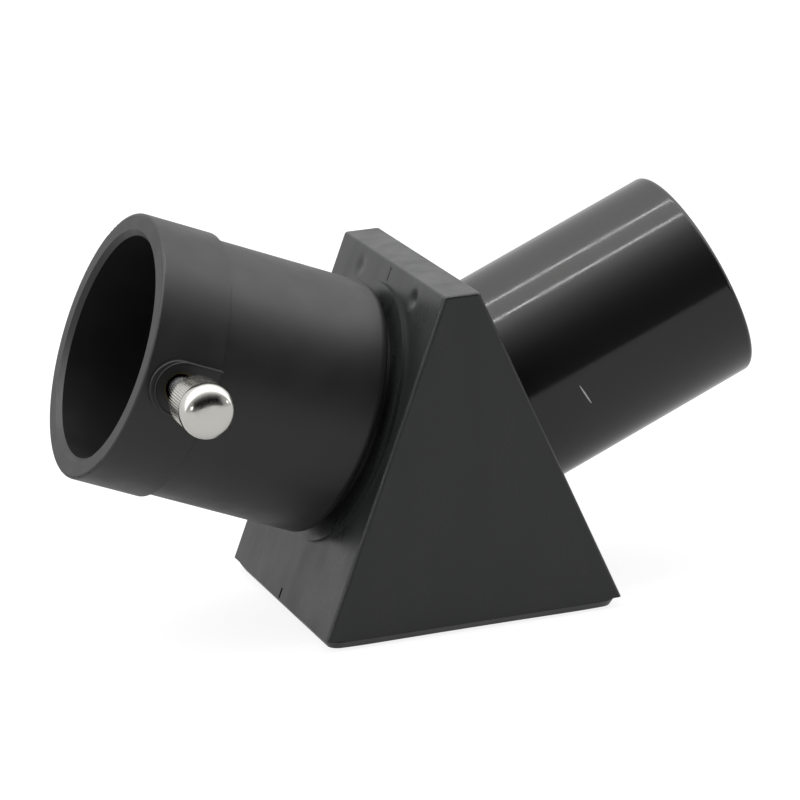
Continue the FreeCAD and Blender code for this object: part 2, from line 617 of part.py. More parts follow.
def make_stop_ring():
    """The blackened ring set into the socket's floor, which an eyepiece barrel can't pass."""
    body = turned_piece("socket_stop_ring", [
        ("stop_radius - stop_wall", "ring_floor"),
        ("stop_radius - slip_gap", "ring_floor"),
        ("stop_radius - slip_gap", "socket_face"),
        ("stop_radius - stop_wall", "socket_face"),
    ])
    stand_on_axis(body, EYEPIECE_SIDE)
    return body


def make_nose():
    """The barrel that goes into a 1.25 inch focuser, with a filter thread inside its end."""
    body = turned_piece("nose_barrel", [
        ("throat_radius", "ring_face + 0.3"),
        ("spigot_radius - thread_gap", "ring_face + 0.3"),
        ("spigot_radius - thread_gap", "house_face"),
        ("nose_radius", "house_face"),
        ("nose_radius", "nose_end"),
        ("filter_radius + 0.4", "nose_end"),
        ("filter_radius", "nose_end - 0.4"),
        ("filter_radius", "nose_end - filter_depth"),
        ("nose_bore", "nose_end - filter_depth"),
        ("nose_bore", "nose_step"),
        ("throat_radius", "nose_step"),
    ])
    dress(body, "Fillet", "end_edge", "nose_round", ring_edge("nose_radius", "nose_end"))
    stand_on_axis(body, NOSE_SIDE)
    return body


def make_baffle():
    """The knife-edged ring inside the nose barrel."""
    base = "nose_end - baffle_setback"
    body = turned_piece("nose_baffle", [
        ("baffle_radius", f"{base} + 0.2"),
        ("baffle_radius + 0.6", base),
        ("nose_bore - slip_gap", base),
        ("nose_bore - slip_gap", f"{base} + baffle_plate"),
        ("baffle_radius + baffle_plate", f"{base} + baffle_plate"),
    ])
    stand_on_axis(body, NOSE_SIDE)
    return body


# ---------------------------------------------------------------- the thumbscrew

def make_insert():
    """The threaded brass sleeve in the holder's wall."""
    body = turned_piece("thumbscrew_insert", [
        ("insert_bore", "insert_foot"),
        ("insert_radius", "insert_foot"),
        ("insert_radius", "insert_top"),
        ("insert_bore", "insert_top"),
    ])
    stand_on_screw(body)
    return body


def make_stud():
    """The M4 stud from its tip to its seat inside the head."""
    body = turned_piece("thumbscrew_stud", [
        ("0", "tip_reach"),
        ("screw_radius - tip_bevel", "tip_reach"),
        ("screw_radius", "tip_reach + tip_bevel"),
        ("screw_radius", "head_reach + head_socket"),
        ("0", "head_reach + head_socket"),
    ])
    stand_on_screw(body)
    return body


def make_head():
    """The domed round head; its socket turns about the stud with a running gap."""
    body = turned_piece("thumbscrew_head", [
        ("screw_radius + thread_gap", "head_reach"),
        ("head_radius - head_bevel", "head_reach"),
        ("head_radius", "head_reach + head_bevel"),
        ("head_radius", "head_reach + head_length - head_dome", "dome"),
        ("0", "head_reach + head_length"),
        ("0", "head_reach + head_socket + thread_gap"),
        ("screw_radius + thread_gap", "head_reach + head_socket + thread_gap"),
    ])
    stand_on_screw(body)
    return body


# ---------------------------------------------------------------- the prism and what carries it

def make_prism():
    """The roof prism: a wedge with its sharp top cut off, and two roof faces at 90 degrees below."""
    body = new_body("erecting_prism")
    sketch = new_sketch(body, "wedge_outline", "XZ_Plane")
    half_top = "apex_cut * tan(face_tilt)"
    half_foot = "(prism_apex - ridge_height) * tan(face_tilt)"
    draw_outline(sketch, [
        (f"-({half_foot})", "ridge_height"), (half_foot, "ridge_height"),
        (half_top, "prism_top"), (f"-({half_top})", "prism_top")])
    pad(body, "wedge", sketch, "2 * prism_reach", both_ways=True)
    sketch = new_sketch(body, "roof_outline", "YZ_Plane")
    draw_outline(sketch, [
        ("0", "ridge_height"),
        ("-prism_reach - 1", "ridge_height + prism_reach + 1"),
        ("-prism_reach - 1", "ridge_height - 1"),
        ("prism_reach + 1", "ridge_height - 1"),
        ("prism_reach + 1", "ridge_height + prism_reach + 1"),
    ])
    pocket(body, "roof", sketch, f"2 * ({half_foot}) + 2", both_ways=True)
    return body


def make_cradle():
    """The moulded carrier: a trough under the roof, a cheek at each side, mask grooves and two tabs."""
    body = new_body("prism_cradle")
    sketch = new_sketch(body, "block_outline", "XZ_Plane")
    half_top = "(cradle_face - (clip_height - axis_height) * sin(face_tilt)) / cos(face_tilt)"
    draw_outline(sketch, [
        ("-cradle_length / 2", "cover_top"), ("cradle_length / 2", "cover_top"),
        ("cradle_length / 2", "cradle_knee"), (half_top, "clip_height"),
        (f"-({half_top})", "clip_height"), ("-cradle_length / 2", "cradle_knee")])
    pad(body, "block", sketch, "2 * cheek_half", both_ways=True)
    sketch = new_sketch(body, "channel_outline", "YZ_Plane")
    draw_outline(sketch, [
        ("0", "trough_height"),
        ("channel_half", "trough_height + channel_half"), ("channel_half", "clip_height + 1"),
        ("-channel_half", "clip_height + 1"), ("-channel_half", "trough_height + channel_half")])
    pocket(body, "channel", sketch, "cradle_length + 2", both_ways=True)

    for side, word in ((EYEPIECE_SIDE, "eyepiece"), (NOSE_SIDE, "nose")):
        sketch = new_tilted_sketch(body, f"{word}_groove_outline", side, "mask_face + mask_plate + slip_gap")
        low, high = f"{side} * (mask_heel + slip_gap)", f"{-side} * cradle_length"
        draw_outline(sketch, [
            (low, "-mask_half - slip_gap"), (high, "-mask_half - slip_gap"),
            (high, "mask_half + slip_gap"), (low, "mask_half + slip_gap")])
        pocket(body, f"{word}_groove", sketch, "mask_plate + 2 * slip_gap")

    sketch = new_sketch(body, "tab_outline", "XY_Plane", "tab_lift")
    for across in (-1, 1):
        draw_rectangle(
            sketch, "tab_width / 2", "(tab_reach + 1) / 2",
            y=f"{across} * (cheek_half + (tab_reach - 1) / 2)")
    pad(body, "tabs", sketch, "tab_height")
    sketch = new_sketch(body, "tab_hole_outline", "XY_Plane", "tab_lift + tab_height")
    for across in (-1, 1):
        draw_circle(sketch, "0", f"{across} * post_half", "small_screw + screw_hole_gap")
    pocket(body, "tab_holes", sketch, "tab_height")
    sketch = new_sketch(body, "clip_pilot_outline", "XY_Plane", "clip_height")
    for across in (-1, 1):
        draw_circle(sketch, "0", f"{across} * clip_screw_half", "small_screw + thread_gap")
    pocket(body, "clip_pilots", sketch, "small_grip + 0.5")
    return body


def make_mask(label, side):
    """A blackened plate with a round opening in front of one prism face, held in the cradle's grooves."""
    body = new_body(label)
    sketch = new_tilted_sketch(body, f"{label}_outline", side, "mask_face")
    top, heel, foot = f"{-side} * mask_top", f"{side} * mask_heel", f"{side} * mask_low"
    draw_outline(sketch, [
        (top, "-mask_half"), (top, "mask_half"),
        (heel, "mask_half"), (heel, "channel_half - 0.3"), (foot, "mask_toe"),
        (foot, "-mask_toe"), (heel, "-channel_half + 0.3"), (heel, "-mask_half")])
    draw_circle(sketch, "0", "0", "mask_open")
    pad(body, f"{label}_plate", sketch, "mask_plate")
    return body


def make_box(label, size, corner, lean=0):
    """A plain pad: its size and its corner are formulas, and it leans about X by some degrees."""
    box = doc.addObject("Part::Box", label)
    box.Label = label
    box.Placement = FreeCAD.Placement(FreeCAD.Vector(), turn((1, 0, 0), lean))
    for path, text in zip(("Length", "Width", "Height"), size):
        bind(box, path, text)
    for path, text in zip("xyz", corner):
        bind(box, f"Placement.Base.{path}", text)
    return box


def make_pads():
    """The pads between the prism and its cradle: two under the roof, one at each side and one on top."""
    size = ("roof_pad_length", "roof_pad_width", "roof_pad")
    outer = "(roof_pad_start + roof_pad_width * sin(45))"
    rear_corner = ("-roof_pad_length / 2", "roof_pad_start", "trough_height + roof_pad_start")
    front_corner = ("-roof_pad_length / 2", f"-{outer}", f"trough_height + {outer}")
    roof_pads = [
        make_box("roof_pad_rear", size, rear_corner, 45),
        make_box("roof_pad_front", size, front_corner, -45),
    ]
    size = ("side_pad_length", "side_pad", "side_pad_height")
    low = "axis_height - side_pad_drop"
    side_pads = [
        make_box("side_pad_rear", size, ("-side_pad_length / 2", "prism_reach", low)),
        make_box("side_pad_front", size, ("-side_pad_length / 2", "-channel_half", low)),
    ]
    size = ("top_pad_width", "top_pad_length", "top_pad")
    top_pad = make_box("prism_top_pad", size, ("-top_pad_width / 2", "-top_pad_length / 2", "prism_top"))
    return roof_pads + side_pads + [top_pad]


def make_clip():
    """The flat spring strap that holds the prism down."""
    body = new_body("prism_clip")
    sketch = new_sketch(body, "strap_outline", "XY_Plane", "clip_height")
    draw_rectangle(sketch, "clip_width / 2", "cheek_half - 0.3")
    for across in (-1, 1):
        draw_circle(sketch, "0", f"{across} * clip_screw_half", "small_screw + 0.1")
    pad(body, "strap", sketch, "clip_plate")
    return body


# ---------------------------------------------------------------- screws

def make_screws(label, points, places):
    """Identical turned screws, one at each place, as one group of separate solids."""
    screws = []
    for number, (x, y) in enumerate(places, start=1):
        screw = turned_piece(f"{label}_{number}", points)
        bind(screw, "Placement.Base.x", x)
        bind(screw, "Placement.Base.y", y)
        screws.append(screw)
    group = doc.addObject("Part::Compound", label)
    group.Label = label
    group.Links = screws
    return group


def make_cover_screws():
    tip = "cover_top + cover_grip"
    points = [
        ("0", "cover_sink"), ("cover_head", "cover_sink"),
        ("cover_screw", "cover_sink + cover_head - cover_screw"), ("cover_screw", tip), ("0", tip)]
    places = [(f"{along} * boss_x", f"{across} * boss_y") for along in (-1, 1) for across in (-1, 1)]
    return make_screws("base_cover_screws", points, places)


def make_cradle_screws():
    tip = "tab_lift + tab_height + small_grip"
    points = [
        ("0", "tab_lift - small_head_height"), ("small_head", "tab_lift - small_head_height"),
        ("small_head", "tab_lift"), ("small_screw", "tab_lift"), ("small_screw", tip), ("0", tip)]
    return make_screws("cradle_screws", points, [("0", f"{across} * post_half") for across in (-1, 1)])


def make_clip_screws():
    seat = "clip_height + clip_plate"
    tip = "clip_height - small_grip"
    points = [
        ("0", tip), ("small_screw", tip), ("small_screw", seat), ("small_head", seat),
        ("small_head", f"{seat} + small_head_height"), ("0", f"{seat} + small_head_height")]
    places = [("0", f"{across} * clip_screw_half") for across in (-1, 1)]
    return make_screws("prism_clip_screws", points, places)


# ---------------------------------------------------------------- build, check and write

sizes = fill_sheet("Sizes", SIZES, "")
fill_sheet("Derived", DERIVED, "=")

nodes = [
    make_housing(),
    make_cover(),
    make_cover_screws(),
    make_holder(),
    make_stop_ring(),
    make_insert(),
    make_stud(),
    make_head(),
    make_nose(),
    make_baffle(),
    make_prism(),
    make_cradle(),
    make_cradle_screws(),
    make_mask("eyepiece_mask", EYEPIECE_SIDE),
    make_mask("nose_mask", NOSE_SIDE),
    *make_pads(),
    make_clip(),
    make_clip_screws(),
]
doc.recompute()

for item in doc.Objects:
    if {"Invalid", "Error"} & set(item.State):
        raise RuntimeError(f"{item.Name} is {item.State}")
for node in nodes:
    if node.Shape.isNull() or not node.Shape.isValid():
        raise RuntimeError(f"{node.Label} has no valid shape")

os.makedirs("parts", exist_ok=True)
for node in nodes:
    node.Shape.exportStep(f"parts/{node.Label}.step")
    box = node.Shape.BoundBox
    print(f"{node.Label:20s} {len(node.Shape.Solids)} solids {node.Shape.Volume:10.1f} mm3"
          f" x {box.XMin:.2f} {box.XMax:.2f} y {box.YMin:.2f} {box.YMax:.2f} z {box.ZMin:.2f} {box.ZMax:.2f}")
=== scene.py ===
import json
import math

import bmesh
import bpy
import numpy as np
from mathutils import Matrix, Vector


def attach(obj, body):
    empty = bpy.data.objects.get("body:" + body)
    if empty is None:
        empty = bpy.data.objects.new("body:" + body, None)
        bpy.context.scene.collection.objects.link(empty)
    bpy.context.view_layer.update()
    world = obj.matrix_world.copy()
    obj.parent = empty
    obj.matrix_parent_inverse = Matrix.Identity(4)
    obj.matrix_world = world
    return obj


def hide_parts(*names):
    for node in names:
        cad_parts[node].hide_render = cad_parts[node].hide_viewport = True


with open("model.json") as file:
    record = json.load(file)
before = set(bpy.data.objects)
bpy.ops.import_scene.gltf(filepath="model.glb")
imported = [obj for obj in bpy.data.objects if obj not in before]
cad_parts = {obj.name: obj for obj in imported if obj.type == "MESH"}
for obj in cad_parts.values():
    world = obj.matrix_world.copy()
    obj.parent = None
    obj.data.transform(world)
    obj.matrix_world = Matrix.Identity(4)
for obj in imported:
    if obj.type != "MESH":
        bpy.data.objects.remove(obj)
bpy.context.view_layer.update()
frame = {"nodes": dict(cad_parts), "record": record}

MM = 0.001
TILT = math.radians(22.5)
SIN, COS = math.sin(TILT), math.cos(TILT)
EYEPIECE_SIDE, NOSE_SIDE = -1, 1

# Sizes of the diagonal in millimetres, the same as in the CAD model. Distances along an optical axis start at
# the point where the two axes meet, AXIS_HEIGHT above the table.
AXIS_HEIGHT = 23.3250
HOUSE_FACE = 12.0609
NOSE_END = 47.0509
NOSE_RADIUS = 15.85
NOSE_BORE = 13.9
SCREW_FACE = 43.6009
PAD_FLAT = 19.55

# The thumbscrew's pitch in millimetres, which couples its slide and its turn.
SCREW_PITCH = 0.7

# The housing's two sink marks on the socket's wall: how far across it and up its slope from the axis, then how
# far they reach and how deep they are. The parting groove runs up the middle of the same wall.
SINK_ACROSS, SINK_UP, SINK_REACH, SINK_DEPTH = 11.1, 19.45, 1.15, 0.30
GROOVE_HALF_WIDTH, GROOVE_DEPTH = 0.11, 0.20


# ---------------------------------------------------------------- camera, floor and light

def place_camera():
    data = bpy.data.cameras.new("camera")
    data.sensor_width = 36
    data.lens = 4366.9 / 800 * 36
    data.clip_start = 0.05
    data.clip_end = 20
    camera = bpy.data.objects.new("camera", data)
    bpy.context.scene.collection.objects.link(camera)
    right = Vector((0.9406962, -0.3366026, -0.0423017)).normalized()
    up = Vector((0.1320043, 0.2483087, 0.9596445)).normalized()
    turn = Matrix((right, up, right.cross(up))).transposed()
    camera.matrix_world = Matrix.Translation((-0.197184, -0.565949, 0.20155)) @ turn.to_4x4()
    bpy.context.scene.camera = camera


def panel_light(name, place, target, width, height, watts, colour=(1, 1, 1)):
    data = bpy.data.lights.new(name, "AREA")
    data.shape = "RECTANGLE"
    data.size = width
    data.size_y = height
    data.energy = watts
    data.color = colour
    light = bpy.data.objects.new(name, data)
    bpy.context.scene.collection.objects.link(light)
    light.location = place
    light.rotation_euler = (Vector(target) - Vector(place)).to_track_quat("-Z", "Y").to_euler()
    light.visible_camera = False
    return light


def make_floor():
    mesh = bpy.data.meshes.new("floor")
    reach, rise = 4.0, -0.0001
    mesh.from_pydata(
        [(-reach, -reach, rise), (reach, -reach, rise), (reach, reach, rise), (-reach, reach, rise)],
        [], [(0, 1, 2, 3)])
    floor = bpy.data.objects.new("floor", mesh)
    bpy.context.scene.collection.objects.link(floor)
    material = bpy.data.materials.new("floor_white")
    material.use_nodes = True
    tree = material.node_tree
    shader = tree.nodes["Principled BSDF"]
    shader.inputs["Base Color"].default_value = (0.20, 0.20, 0.20, 1)
    shader.inputs["Roughness"].default_value = 1.0
    shader.inputs["Specular IOR Level"].default_value = 0.0
    shader.inputs["Emission Color"].default_value = (1, 1, 1, 1)
    seen = tree.nodes.new("ShaderNodeLightPath")
    glow = tree.nodes.new("ShaderNodeMapRange")
    glow.inputs["To Min"].default_value = 0.40
    glow.inputs["To Max"].default_value = 0.86
    tree.links.new(seen.outputs["Is Camera Ray"], glow.inputs["Value"])
    tree.links.new(glow.outputs[0], shader.inputs["Emission Strength"])
    mesh.materials.append(material)


def light_studio():
    """A white sweep behind, a soft ceiling that fades out in front, and two long lamps above it."""
    world = bpy.data.worlds.new("studio")
    bpy.context.scene.world = world
    world.use_nodes = True
    tree = world.node_tree
    tree.nodes.clear()
    output = tree.nodes.new("ShaderNodeOutputWorld")
    backdrop = tree.nodes.new("ShaderNodeBackground")
    backdrop.inputs["Color"].default_value = (1, 1, 1, 1)
    studio = tree.nodes.new("ShaderNodeBackground")
    path = tree.nodes.new("ShaderNodeLightPath")
    mix = tree.nodes.new("ShaderNodeMixShader")
    heading = tree.nodes.new("ShaderNodeTexCoord")
    parts = tree.nodes.new("ShaderNodeSeparateXYZ")
    lean = tree.nodes.new("ShaderNodeMath")
    lean.operation = "ARCTAN2"
    share = tree.nodes.new("ShaderNodeMapRange")
    share.inputs["From Min"].default_value = -math.pi / 2
    share.inputs["From Max"].default_value = math.pi / 2
    ramp = tree.nodes.new("ShaderNodeFloatCurve")
    curve = ramp.mapping.curves[0]
    brightest = 4.0
    # Share of the way from the front horizon over the top to the back horizon, and the brightness there.
    steps = [
        (0.0, 0.07), (0.20, 0.08), (0.27, 0.35), (0.35, 0.95), (0.46, 2.7), (0.55, 3.3), (0.63, 2.6), (0.73, 1.8),
        (0.86, 1.15), (1.0, 1.0)]
    curve.points[0].location = (steps[0][0], steps[0][1] / brightest)
    curve.points[1].location = (steps[-1][0], steps[-1][1] / brightest)
    for place, bright in steps[1:-1]:
        curve.points.new(place, bright / brightest)
    ramp.mapping.update()
    full = tree.nodes.new("ShaderNodeMath")
    full.operation = "MULTIPLY"
    full.inputs[1].default_value = brightest
    tree.links.new(heading.outputs["Generated"], parts.inputs[0])
    tree.links.new(parts.outputs["Y"], lean.inputs[0])
    tree.links.new(parts.outputs["Z"], lean.inputs[1])
    tree.links.new(lean.outputs[0], share.inputs["Value"])
    tree.links.new(share.outputs[0], ramp.inputs["Value"])
    # The dark opening in front is only as wide as the camera needs; the tent's sides are pale.
    aside = tree.nodes.new("ShaderNodeMath")
    aside.operation = "ABSOLUTE"
    sides = tree.nodes.new("ShaderNodeMapRange")
    sides.interpolation_type = "SMOOTHSTEP"
    sides.inputs["From Min"].default_value = 0.55
    sides.inputs["From Max"].default_value = 0.85
    sides.inputs["To Min"].default_value = 0.0
    sides.inputs["To Max"].default_value = 0.13
    larger = tree.nodes.new("ShaderNodeMath")
    larger.operation = "MAXIMUM"
    tree.links.new(parts.outputs["X"], aside.inputs[0])
    tree.links.new(aside.outputs[0], sides.inputs["Value"])
    tree.links.new(ramp.outputs[0], larger.inputs[0])
    tree.links.new(sides.outputs[0], larger.inputs[1])
    tree.links.new(larger.outputs[0], full.inputs[0])
    tree.links.new(full.outputs[0], studio.inputs["Strength"])
    tree.links.new(path.outputs["Is Camera Ray"], mix.inputs[0])
    tree.links.new(studio.outputs[0], mix.inputs[1])
    tree.links.new(backdrop.outputs[0], mix.inputs[2])
    tree.links.new(mix.outputs[0], output.inputs["Surface"])
    for name, lift, back, watts in (("lamp_back", 0.925, 0.29, 1.6), ("lamp_front", 0.985, -0.095, 1.9)):
        place = (-SIN * lift, back, 0.023 + COS * lift)
        lamp = panel_light(name, place, (0, 0, 0.023), 1.5, 0.013, watts)
        facing = Vector((SIN * lift, -back, -COS * lift)).normalized()
        along = Vector((COS, 0, SIN))
        turn = Matrix((along, (-facing).cross(along), -facing)).transposed()
        lamp.rotation_euler = turn.to_euler()
    panel_light("spot_left", (-0.90, -0.75, 0.27), (-0.04, -0.03, 0.04), 0.13, 0.13, 0.32)
    panel_light("spot_right", (1.10, -0.40, 0.22), (-0.04, -0.03, 0.04), 0.10, 0.10, 0.18)


# ---------------------------------------------------------------- finishes

class Finish:
    """A material being put together around one shader."""

    def __init__(self, name, colour, roughness, metallic=0.0):
        self.material = bpy.data.materials.new(name)
        self.material.use_nodes = True
        self.tree = self.material.node_tree
        self.shader = self.tree.nodes["Principled BSDF"]
        self.shader.inputs["Base Color"].default_value = (*colour, 1)
        self.shader.inputs["Roughness"].default_value = roughness
        self.shader.inputs["Metallic"].default_value = metallic
        self.place = self.tree.nodes.new("ShaderNodeTexCoord").outputs["Object"]
        self.height = None

    def node(self, kind, **settings):
        made = self.tree.nodes.new(kind)
        for key, setting in settings.items():
            setattr(made, key, setting)
        return made

    def link(self, start, end):
        self.tree.links.new(start, end)

    def noise(self, size, detail=3.0, roughness=0.55, stretch=(1, 1, 1), turn=(0, 0, 0)):
        """Noise whose blotches are about size millimetres across."""
        mapping = self.node("ShaderNodeMapping")
        mapping.inputs["Rotation"].default_value = turn
        mapping.inputs["Scale"].default_value = [factor / (size * MM) for factor in stretch]
        self.link(self.place, mapping.inputs["Vector"])
        made = self.node("ShaderNodeTexNoise")
        made.inputs["Scale"].default_value = 1.0
        made.inputs["Detail"].default_value = detail
        made.inputs["Roughness"].default_value = roughness
        self.link(mapping.outputs["Vector"], made.inputs["Vector"])
        return made.outputs["Fac"]

    def spread(self, source, low, high, to_low, to_high):
        made = self.node("ShaderNodeMapRange")
        made.inputs["From Min"].default_value = low
        made.inputs["From Max"].default_value = high
        made.inputs["To Min"].default_value = to_low
        made.inputs["To Max"].default_value = to_high
        self.link(source, made.inputs["Value"])
        return made.outputs["Result"]

    def tint(self, source, first, second):
        made = self.node("ShaderNodeMix", data_type="RGBA")
        made.inputs[6].default_value = (*first, 1)
        made.inputs[7].default_value = (*second, 1)
        self.link(source, made.inputs[0])
        self.link(made.outputs[2], self.shader.inputs["Base Color"])
        return made.outputs[2]

    def bump(self, source, depth, strength=1.0):
        """Relief of depth millimetres."""
        made = self.node("ShaderNodeBump")
        made.inputs["Strength"].default_value = strength
        made.inputs["Distance"].default_value = depth * MM
        self.link(source, made.inputs["Height"])
        if self.height is not None:
            self.link(self.height, made.inputs["Normal"])
        self.height = made.outputs["Normal"]
        self.link(self.height, self.shader.inputs["Normal"])


def moulded_plastic(name, dark, pale, roughness, grain, depth, flow=(1, 1, 1), turn=(0, 0, 0), spread=0.05):
    """Moulded black plastic: a fine grain, slow changes of tone and polish drawn out along the flow."""
    finish = Finish(name, dark, roughness)
    finish.tint(finish.noise(9, stretch=flow, turn=turn), dark, pale)
    polish = finish.noise(4.5, detail=4, stretch=flow, turn=turn)
    polish = finish.spread(polish, 0.3, 0.7, roughness - spread, roughness + spread)
    finish.link(polish, finish.shader.inputs["Roughness"])
    finish.bump(finish.noise(grain, detail=2), depth)
    return finish


def grey(level):
    return (level, level, level)


def make_finishes():
    made = {}
    finish = moulded_plastic(
        "housing_black", (0.014, 0.015, 0.015), (0.021, 0.022, 0.022), 0.32, 0.28, 0.005,
        flow=(1, 1, 0.22), spread=0.09)
    made["housing_black"] = finish.material
    finish = moulded_plastic("holder_black", grey(0.011), grey(0.015), 0.42, 0.4, 0.004)
    made["holder_black"] = finish.material
    finish = moulded_plastic("barrel_black", grey(0.010), grey(0.012), 0.12, 0.8, 0.0006, spread=0.03)
    made["barrel_black"] = finish.material
    finish = Finish("head_nickel", (0.68, 0.67, 0.63), 0.14, 1.0)
    finish.link(finish.spread(finish.noise(0.6, detail=6), 0.3, 0.7, 0.12, 0.24), finish.shader.inputs["Roughness"])
    made["head_nickel"] = finish.material
    # The stud's colour is set far darker than its nickel plating: painted shade for the shadow it sits in under the
    # head.
    finish = Finish("stud_nickel", grey(0.14), 0.4, 1.0)
    finish.link(finish.spread(finish.noise(0.5, detail=6), 0.3, 0.7, 0.2, 0.36), finish.shader.inputs["Roughness"])
    made["stud_nickel"] = finish.material
    finish = Finish("insert_brass", (0.16, 0.13, 0.08), 0.5, 1.0)
    finish.tint(finish.noise(0.8), (0.16, 0.13, 0.08), (0.07, 0.06, 0.04))
    made["insert_brass"] = finish.material
    finish = Finish("blackened_metal", grey(0.012), 0.6)
    finish.tint(finish.noise(1.5, detail=6), grey(0.010), grey(0.018))
    finish.bump(finish.noise(0.2), 0.01)
    made["blackened_metal"] = finish.material
    finish = Finish("prism_glass", (0.93, 0.97, 0.95), 0.02)
    finish.shader.inputs["Transmission Weight"].default_value = 1.0
    finish.shader.inputs["IOR"].default_value = 1.57
    finish.link(finish.spread(finish.noise(3, detail=4), 0.4, 0.8, 0.01, 0.04), finish.shader.inputs["Roughness"])
    made["prism_glass"] = finish.material
    finish = moulded_plastic("cradle_black", grey(0.018), grey(0.024), 0.6, 0.3, 0.01)
    made["cradle_black"] = finish.material
    finish = Finish("pad_felt", grey(0.03), 0.95)
    finish.tint(finish.noise(0.3, detail=8), grey(0.015), grey(0.045))
    finish.bump(finish.noise(0.15, detail=6), 0.08)
    finish.shader.inputs["Sheen Weight"].default_value = 0.5
    made["pad_felt"] = finish.material
    finish = Finish("pad_rubber", grey(0.03), 0.8)
    finish.tint(finish.noise(0.4, detail=4), grey(0.02), grey(0.035))
    finish.bump(finish.noise(0.25, detail=2), 0.05)
    made["pad_rubber"] = finish.material
    finish = Finish("spring_steel", (0.45, 0.46, 0.48), 0.3, 1.0)
    finish.link(
        finish.spread(finish.noise(1, stretch=(1, 0.04, 1), detail=6), 0.3, 0.7, 0.22, 0.45),
        finish.shader.inputs["Roughness"])
    made["spring_steel"] = finish.material
    finish = Finish("screw_steel", (0.35, 0.35, 0.36), 0.35, 1.0)
    finish.tint(finish.noise(0.7, detail=5), (0.30, 0.30, 0.31), (0.40, 0.40, 0.41))
    made["screw_steel"] = finish.material
    finish = Finish("scuffed_black", (0.55, 0.55, 0.54), 0.6)
    finish.tint(finish.noise(0.2, detail=4), grey(0.40), (0.75, 0.75, 0.74))
    made["scuffed_black"] = finish.material
    return made


# ---------------------------------------------------------------- shaping helpers

def spot(side, along, across=0.0, lift=0.0):
    """A point in metres from its distances along an optical axis, across it along Y, and square to both."""
    return Vector((
        side * (COS * along - SIN * lift) * MM, across * MM,
        (AXIS_HEIGHT + SIN * along + COS * lift) * MM))


def axis_frame(side, along):
    """Matrix that stands a piece drawn about its own Z on an optical axis, a distance along it."""
    out = Vector((side * COS, 0, SIN))
    lift = Vector((-side * SIN, 0, COS))
    turn = Matrix((lift.cross(-out), lift, out)).transposed()
    return Matrix.Translation(spot(side, along)) @ turn.to_4x4()


def screw_frame(reach):
    """Matrix that stands a piece drawn about its own Z on the thumbscrew's axis, a distance out from the middle."""
    turn = Matrix(((1, 0, 0), (0, 0, 1), (0, -1, 0))).transposed()
    base = spot(EYEPIECE_SIDE, SCREW_FACE)
    return Matrix.Translation((base.x, -reach * MM, base.z)) @ turn.to_4x4()


def add_object(name, mesh, material, body, slot, *nodes):
    piece = bpy.data.objects.new(name, mesh)
    bpy.context.scene.collection.objects.link(piece)
    mesh.materials.clear()
    mesh.materials.append(material)
    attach(piece, body)
    if nodes:
        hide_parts(*nodes)
    return piece


def shade(mesh, angle=32):
    mesh.polygons.foreach_set("use_smooth", [True] * len(mesh.polygons))
    mesh.set_sharp_from_angle(angle=math.radians(angle))


def mesh_from(made, name):
    """The finished mesh of a bmesh, its faces turned outwards."""
    bmesh.ops.recalc_face_normals(made, faces=made.faces)
    mesh = bpy.data.meshes.new(name)
    made.to_mesh(mesh)
    made.free()
    return mesh


def turned(name, profile, steps):
    """A closed mesh turned about Z from an outline of radius and height pairs in millimetres, axis to axis."""
    made = bmesh.new()
    rings = []
    for radius, height in profile:
        if radius < 1e-6:
            rings.append([made.verts.new((0, 0, height * MM))])
            continue
        rings.append([
            made.verts.new((
                radius * MM * math.cos(2 * math.pi * step / steps),
                radius * MM * math.sin(2 * math.pi * step / steps), height * MM))
            for step in range(steps)])
    for low, high in zip(rings, rings[1:]):
        for step in range(steps):
            after = (step + 1) % steps
            corners = [low[step % len(low)], low[after % len(low)], high[after % len(high)], high[step % len(high)]]
            corners = [corner for place, corner in enumerate(corners) if corner not in corners[:place]]
            if len(corners) > 2:
                made.faces.new(corners)
    mesh = mesh_from(made, name)
    shade(mesh)
    return mesh


# ---------------------------------------------------------------- node trees for what repeats

def new_tree(name, sockets):
    tree = bpy.data.node_groups.new(name, "GeometryNodeTree")
    tree.interface.new_socket("Geometry", in_out="INPUT", socket_type="NodeSocketGeometry")
    for label, kind in sockets:
        tree.interface.new_socket(label, in_out="INPUT", socket_type=kind)
    tree.interface.new_socket("Geometry", in_out="OUTPUT", socket_type="NodeSocketGeometry")
    return tree, tree.nodes.new("NodeGroupInput"), tree.nodes.new("NodeGroupOutput")


def close_tree(tree, source, sink, shape):
    """End a tree with real geometry in its finish."""
    new, link = tree.nodes.new, tree.links.new
    real = new("GeometryNodeRealizeInstances")
    link(shape, real.inputs["Geometry"])
    paint = new("GeometryNodeSetMaterial")
    link(real.outputs[0], paint.inputs["Geometry"])
    link(source.outputs["Finish"], paint.inputs["Material"])
    link(paint.outputs[0], sink.inputs["Geometry"])


def run_tree(name, mesh, tree, settings):
    """The plain mesh that a tree makes from a starting mesh."""
    start = bpy.data.objects.new(name, mesh)
    bpy.context.scene.collection.objects.link(start)
    modifier = start.modifiers.new(name, "NODES")
    modifier.node_group = tree
    sockets = {
        item.name: item.identifier for item in tree.interface.items_tree
        if item.item_type == "SOCKET" and item.in_out == "INPUT"}
    for label, setting in settings.items():
        modifier[sockets[label]] = setting
    bpy.context.view_layer.update()
    seen = start.evaluated_get(bpy.context.evaluated_depsgraph_get())
    result = bpy.data.meshes.new_from_object(seen)
    start.modifiers.clear()
    bpy.data.objects.remove(start)
    return result


